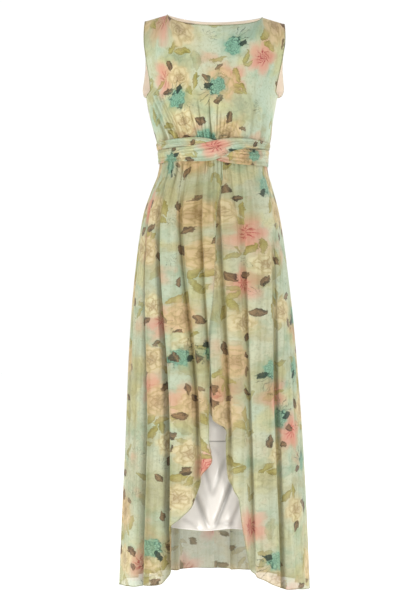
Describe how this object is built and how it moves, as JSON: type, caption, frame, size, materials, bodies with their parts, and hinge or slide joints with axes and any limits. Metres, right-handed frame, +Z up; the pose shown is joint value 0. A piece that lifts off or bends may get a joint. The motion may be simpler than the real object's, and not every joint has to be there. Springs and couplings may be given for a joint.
{
  "type": "swing dress",
  "caption": "Sleeveless floor-length dress in thin cloth, gathered under a crossed waist sash, its skirt panels parting at the front over a shorter lining.",
  "frame": {"origin": "Midway between the neck points of the two shoulder seams, level with the higher one, where the shoulders carry the dress.", "axes": "+Z up, front facing -Y, +X towards the wearer's left side."},
  "size_m": [0.4733, 0.4292, 1.4331],
  "materials": {
    "chiffon": "sheer matt chiffon with a flower print on pale sage green",
    "satin": "smooth white satin"
  },
  "bodies": {
    "root": {"bodice_front": "chiffon", "bodice_back_left": "chiffon", "bodice_back_right": "chiffon", "skirt_front_over": "chiffon", "skirt_front_under": "chiffon", "skirt_back_left": "chiffon", "skirt_back_right": "chiffon", "sash_over": "chiffon", "sash_under": "chiffon", "lining_front": "satin", "lining_back": "satin"}
  },
  "joints": []
}
